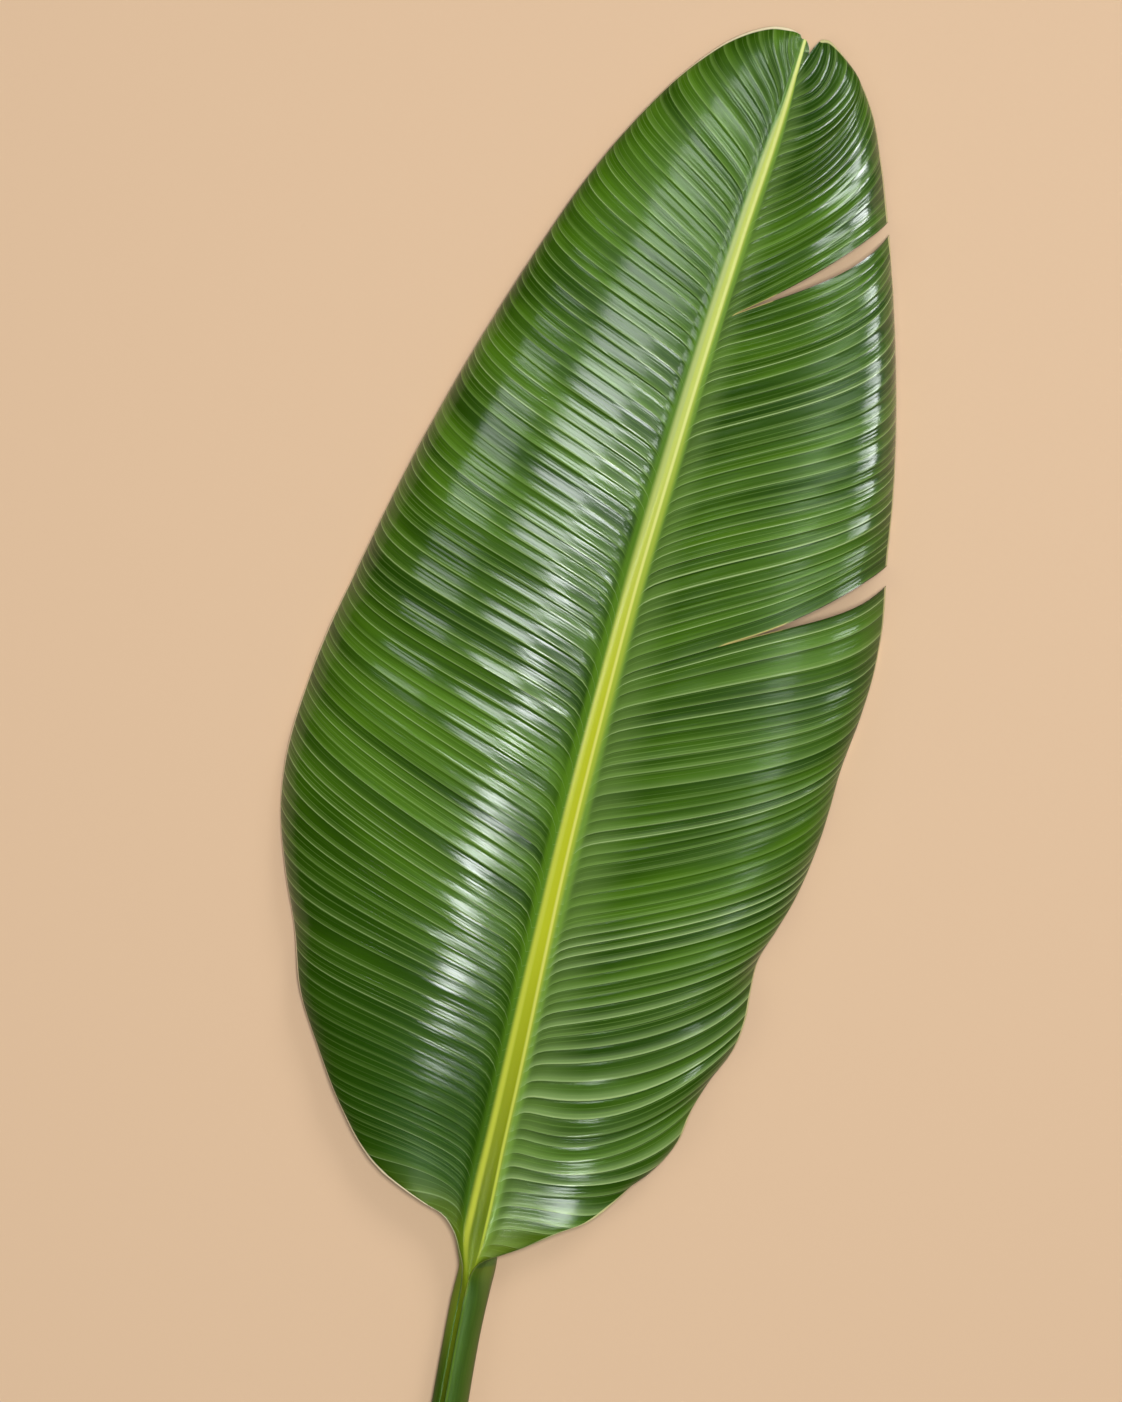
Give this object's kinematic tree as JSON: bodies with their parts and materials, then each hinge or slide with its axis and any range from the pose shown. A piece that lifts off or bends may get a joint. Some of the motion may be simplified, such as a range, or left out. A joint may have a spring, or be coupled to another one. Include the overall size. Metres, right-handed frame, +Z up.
{
  "type": "white bird of paradise leaf",
  "caption": "Large paddle-shaped pleated leaf with a pale channelled midrib, a torn right half, a split tip and a grooved round petiole, cut and lying glossy face up.",
  "frame": {"origin": "middle of the leaf's length and width, on the surface it lies on", "axes": "+Y from the petiole's cut end to the tip, +Z up from the surface, glossy face up, +X to the half with the tears"},
  "size_m": [0.2738, 0.8558, 0.037],
  "materials": {
    "leaf_green": "waxy, glossy upper face of a living leaf with fine parallel veins",
    "leaf_midrib": "smooth, satin yellow-green midrib and petiole"
  },
  "bodies": {
    "root": {"leaf": "leaf_green"}
  },
  "joints": []
}
